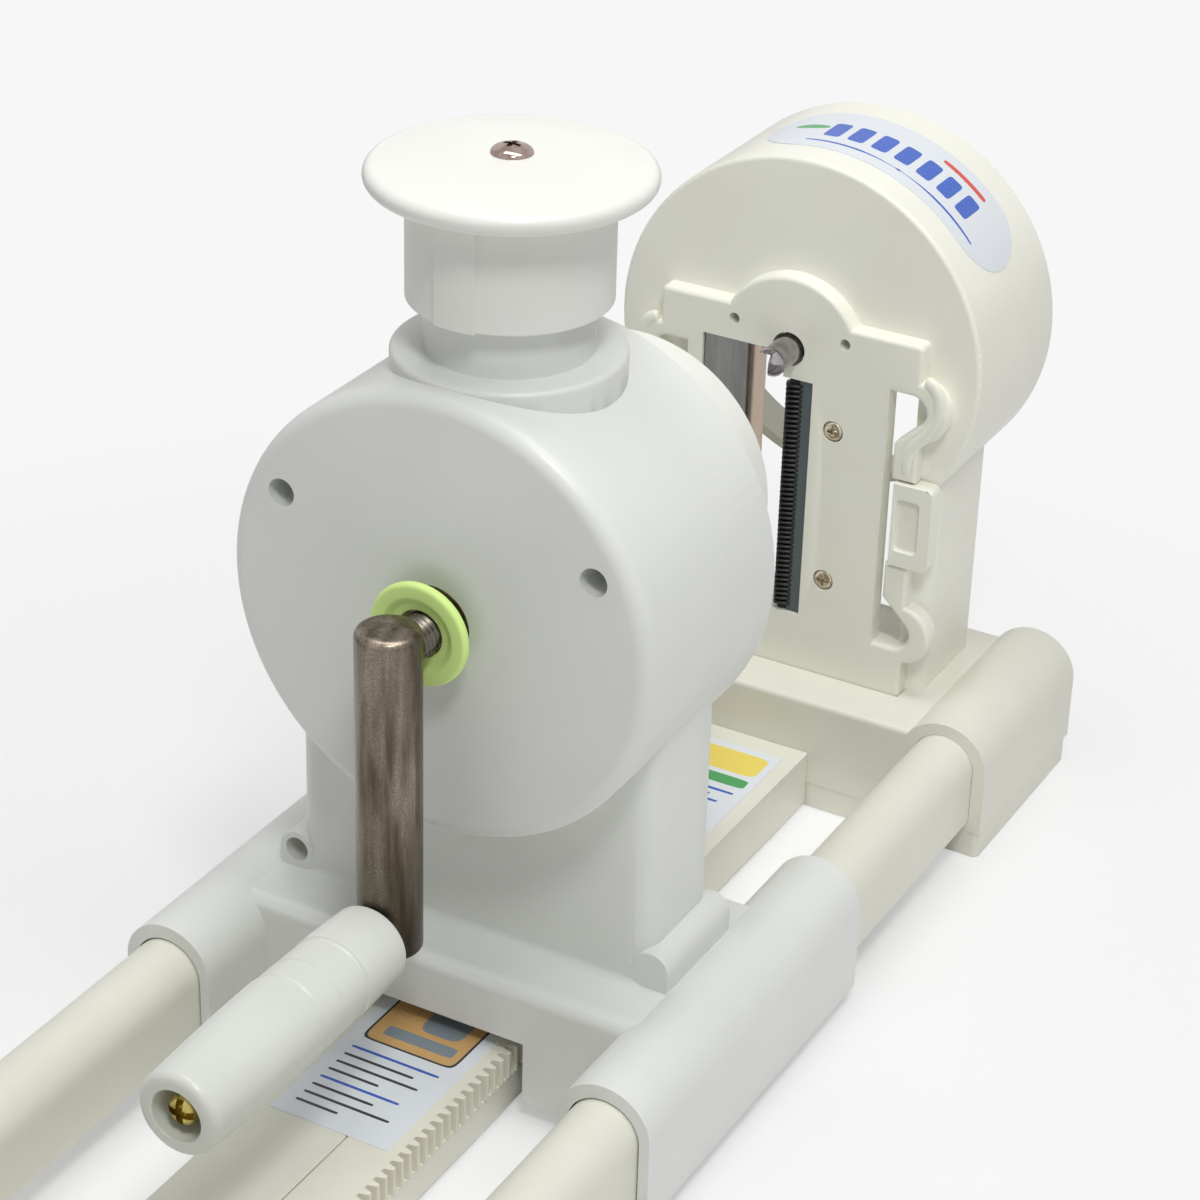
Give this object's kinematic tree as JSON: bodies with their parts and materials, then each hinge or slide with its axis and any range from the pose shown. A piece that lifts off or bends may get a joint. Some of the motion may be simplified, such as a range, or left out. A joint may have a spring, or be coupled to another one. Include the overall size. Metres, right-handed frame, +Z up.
{
  "type": "hand-cranked vegetable spiralizer",
  "caption": "Table-top spiralizer: a crank carriage on two rails turns a vegetable against an upright blade and comb, and a push button engages the rack feed.",
  "frame": {"origin": "on the floor under the middle of the whole machine", "axes": "+Y along the rails toward the blade head, +Z up, +X to the right of someone who turns the crank"},
  "size_m": [0.142, 0.393, 0.2261],
  "materials": {
    "white_plastic": "satin",
    "ivory_plastic": "satin",
    "blade_steel": "ground",
    "bar_steel": "brushed",
    "screw_steel": "nickel plated",
    "screw_brass": "plated",
    "bushing_brass": "turned",
    "green_plastic": "matte",
    "black_steel": "blackened",
    "grey_plastic": "matte",
    "gear_plastic": "matte",
    "label_film": "matte"
  },
  "bodies": {
    "base": {"far_base": "white_plastic", "far_foot_plate": "white_plastic", "near_foot": "white_plastic", "near_foot_plate": "white_plastic", "left_rail": "white_plastic", "right_rail": "white_plastic", "centre_bar": "white_plastic", "feed_rack": "white_plastic", "near_label": "label_film", "far_label": "label_film", "blade_head": "white_plastic", "head_screws": "screw_steel", "head_sticker": "label_film", "blade_cassette": "white_plastic", "slicing_blade": "blade_steel", "blade_clamp": "blade_steel", "comb_blade": "black_steel", "comb_holder": "grey_plastic", "coring_tube": "screw_steel", "cassette_screws": "screw_steel"},
    "left_latch": {"left_latch_pad": "white_plastic"},
    "right_latch": {"right_latch_pad": "white_plastic"},
    "carriage": {"front_shell": "white_plastic", "rear_shell": "white_plastic", "shell_screws": "screw_steel", "front_bushing": "bushing_brass", "rear_bushing": "bushing_brass", "feed_bushing": "bushing_brass", "gear_bracket": "bar_steel", "bracket_screws": "screw_steel", "wheel_bushings": "bushing_brass", "button_guide": "white_plastic", "return_spring": "bar_steel"},
    "crank": {"crank_arm": "bar_steel", "crank_shaft": "bar_steel", "worm": "gear_plastic", "drive_pins": "screw_steel", "green_washer": "green_plastic", "shaft_clip": "screw_steel", "vegetable_holder": "ivory_plastic", "holder_hub": "ivory_plastic", "spike_plate": "blade_steel", "spike_screws": "screw_steel", "grip_screw": "screw_brass"},
    "grip": {"crank_grip": "white_plastic"},
    "wheel": {"worm_wheel": "gear_plastic"},
    "button": {"set_button": "ivory_plastic", "button_screw": "screw_steel", "button_rod": "bar_steel", "button_yoke": "gear_plastic", "yoke_washer": "bar_steel", "yoke_screw": "screw_steel"},
    "feed": {"feed_shaft": "bar_steel", "feed_pinion": "gear_plastic", "feed_clips": "screw_steel"}
  },
  "joints": [
    {"name": "carriage_slide", "type": "slide", "parent": "base", "child": "carriage", "axis": [0, 1, 0], "range_m": [-0.12177, 0.074]},
    {"name": "crank_spin", "type": "hinge", "parent": "carriage", "child": "crank", "pos_m": [0, 0, 0.1252], "axis": [0, 1, 0], "continuous": true},
    {"name": "grip_spin", "type": "hinge", "parent": "crank", "child": "grip", "pos_m": [0, -0.09, 0.0563], "axis": [0, 1, 0], "continuous": true},
    {"name": "worm_wheel_spin", "type": "hinge", "parent": "carriage", "child": "wheel", "pos_m": [0.02585, -0.003, 0.1252], "axis": [0, 0, 1], "continuous": true},
    {"name": "set_button_press", "type": "slide", "parent": "carriage", "child": "button", "axis": [0, 0, 1], "range_m": [-0.007, 0], "stiffness_N_per_m": 350, "springref_m": 0.011, "deforming": ["return_spring"]},
    {"name": "feed_shaft_spin", "type": "hinge", "parent": "button", "child": "feed", "pos_m": [0.02585, -0.003, 0.1], "axis": [0, 0, 1], "continuous": true},
    {"name": "left_latch_squeeze", "type": "slide", "parent": "base", "child": "left_latch", "axis": [1, 0, 0], "range_m": [0, 0.0015], "stiffness_N_per_m": 4000, "springref_m": -0.001},
    {"name": "right_latch_squeeze", "type": "slide", "parent": "base", "child": "right_latch", "axis": [1, 0, 0], "range_m": [-0.0015, 0], "stiffness_N_per_m": 4000, "springref_m": 0.001}
  ],
  "couplings": [
    {"joint": "worm_wheel_spin", "follows": "crank_spin", "ratio": 0.033333},
    {"joint": "feed_shaft_spin", "follows": "crank_spin", "ratio": 0.033333}
  ]
}
